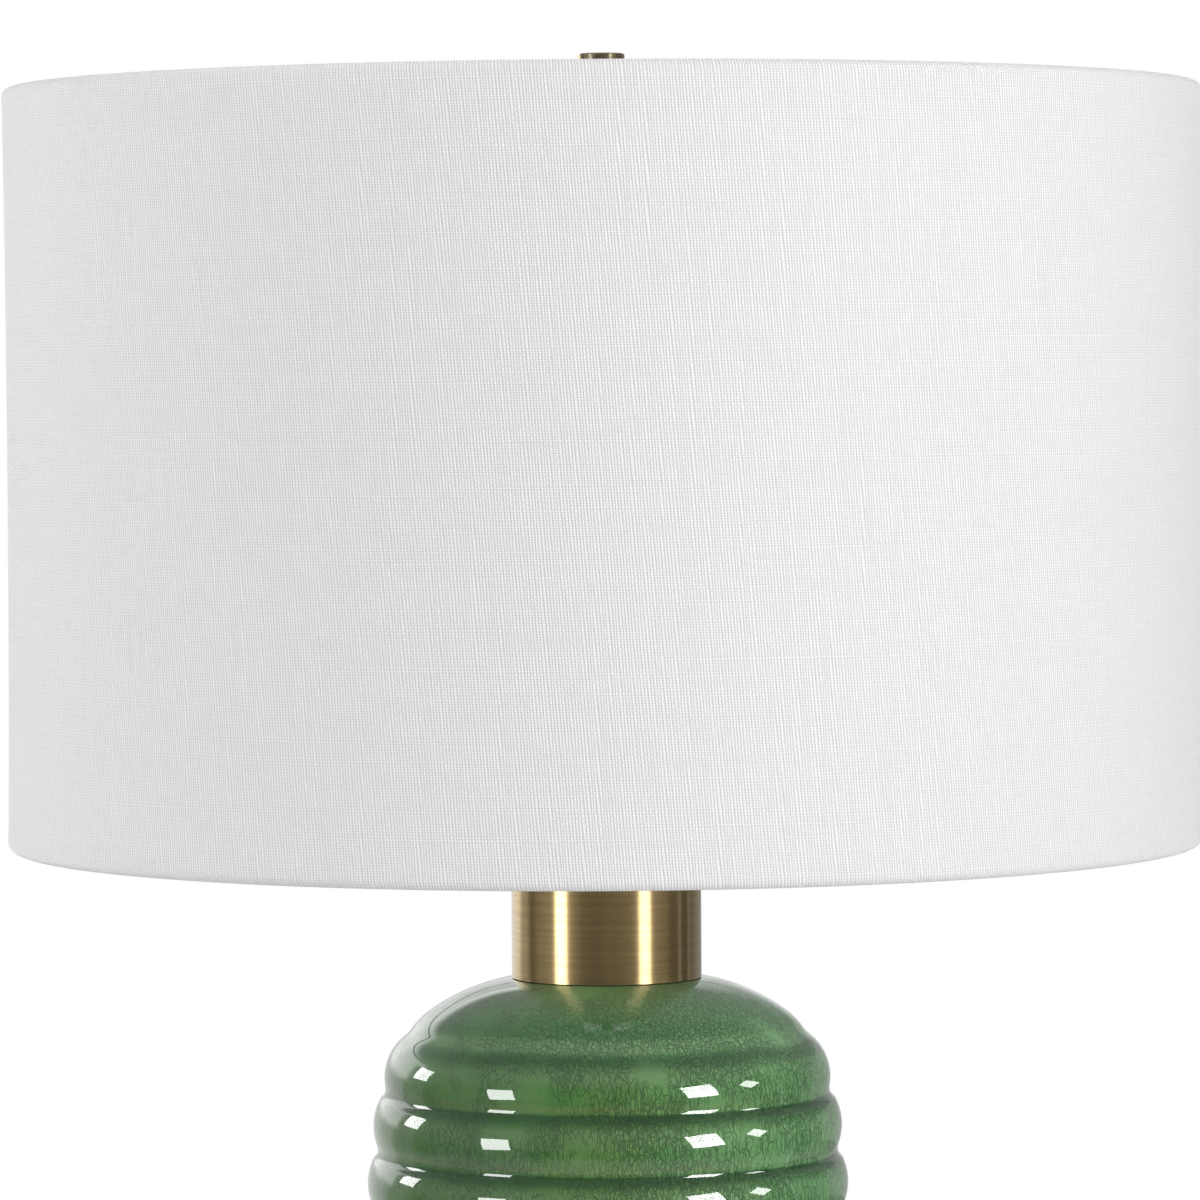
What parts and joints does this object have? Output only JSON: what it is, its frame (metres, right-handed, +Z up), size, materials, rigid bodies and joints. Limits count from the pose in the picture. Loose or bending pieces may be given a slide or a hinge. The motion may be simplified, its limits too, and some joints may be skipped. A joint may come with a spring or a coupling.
{
  "type": "table lamp",
  "caption": "Ginger jar table lamp: a ribbed green crackle-glazed jar on a round brass foot, a brass neck, a turn-knob socket, a harp and a linen drum shade with a finial.",
  "frame": {"origin": "on the table under the lamp's vertical axis, at the level that the foot pads stand on", "axes": "+Z up along the lamp's axis, the harp stands in the XZ plane, -Y is the front where the switch knob points, +Y is the back where the cord's inlet is"},
  "size_m": [0.4064, 0.4064, 0.6097],
  "materials": {
    "brushed_brass": "brushed, lacquered antique brass",
    "polished_brass": "polished brass",
    "socket_brass": "thin drawn brass, satin",
    "spider_brass": "brass-plated wire, satin",
    "ring_wire": "white painted steel wire",
    "zinc_steel": "zinc-plated steel",
    "cast_weight": "raw casting",
    "crackle_glaze": "green crackle glaze, high gloss",
    "black_board": "black fibre board",
    "pad_rubber": "matt black rubber",
    "gasket_rubber": "matt rubber gasket",
    "bushing_plastic": "black nylon",
    "phenolic": "moulded phenolic",
    "knob_plastic": "moulded black knob",
    "switch_steel": "turned steel",
    "liner_board": "vulcanised paper tube",
    "bulb_glass": "soft white frosted glass",
    "stem_glass": "clear glass",
    "cap_aluminium": "rolled aluminium",
    "insulator": "black glass-like insulator",
    "solder": "solder drop",
    "lead_wire": "drawn wire",
    "styrene": "white translucent styrene sheet",
    "linen": "plain-woven off-white linen"
  },
  "bodies": {
    "base": {"foot_pads": "pad_rubber", "foot_cover": "black_board", "brass_foot": "brushed_brass", "cord_bushing": "bushing_plastic", "foot_weight": "cast_weight", "bottom_washer": "zinc_steel", "bottom_nut": "zinc_steel", "threaded_pipe": "zinc_steel", "foot_gasket": "gasket_rubber", "jar": "crackle_glaze", "neck_gasket": "gasket_rubber", "neck_washer": "zinc_steel", "neck_tube": "brushed_brass", "neck_cap": "brushed_brass", "harp_saddle": "polished_brass", "lock_nut": "zinc_steel", "socket_cap": "socket_brass", "set_screw": "zinc_steel", "socket_shell": "socket_brass", "paper_liner": "liner_board", "socket_body": "phenolic", "terminal_screws": "socket_brass", "screw_shell": "socket_brass", "centre_contact": "socket_brass"},
    "switch": {"switch_shaft": "switch_steel", "switch_knob": "knob_plastic"},
    "bulb": {"bulb_envelope": "bulb_glass", "bulb_cap": "cap_aluminium", "bulb_insulator": "insulator", "bulb_tip": "solder", "bulb_stem": "stem_glass", "bulb_leads": "lead_wire", "bulb_filament": "lead_wire"},
    "harp": {"harp": "polished_brass", "harp_stud": "polished_brass"},
    "ferrule_left": {"ferrule_left": "polished_brass"},
    "ferrule_right": {"ferrule_right": "polished_brass"},
    "shade": {"spider_hub": "spider_brass", "spider_arms": "spider_brass", "top_ring": "ring_wire", "bottom_ring": "ring_wire", "shade_styrene": "styrene", "shade_linen": "linen"},
    "finial": {"finial": "polished_brass"}
  },
  "joints": [
    {"name": "switch_turn", "type": "hinge", "parent": "base", "child": "switch", "pos_m": [0, -0.02, 0.3984], "axis": [0, -1, 0], "continuous": true},
    {"name": "bulb_lift", "type": "slide", "parent": "base", "child": "bulb", "axis": [0, 0, 1], "range_m": [0, 0.03]},
    {"name": "harp_lift", "type": "slide", "parent": "base", "child": "harp", "axis": [0, 0, 1], "range_m": [0, 0.03]},
    {"name": "ferrule_left_slide", "type": "slide", "parent": "harp", "child": "ferrule_left", "axis": [0, 0, 1], "range_m": [0, 0.018]},
    {"name": "ferrule_right_slide", "type": "slide", "parent": "harp", "child": "ferrule_right", "axis": [0, 0, 1], "range_m": [0, 0.018]},
    {"name": "shade_turn", "type": "hinge", "parent": "harp", "child": "shade", "pos_m": [0, 0, 0.5855], "axis": [0, 0, 1], "continuous": true},
    {"name": "finial_turn", "type": "hinge", "parent": "harp", "child": "finial", "pos_m": [0, 0, 0.598], "axis": [0, 0, 1], "continuous": true}
  ]
}
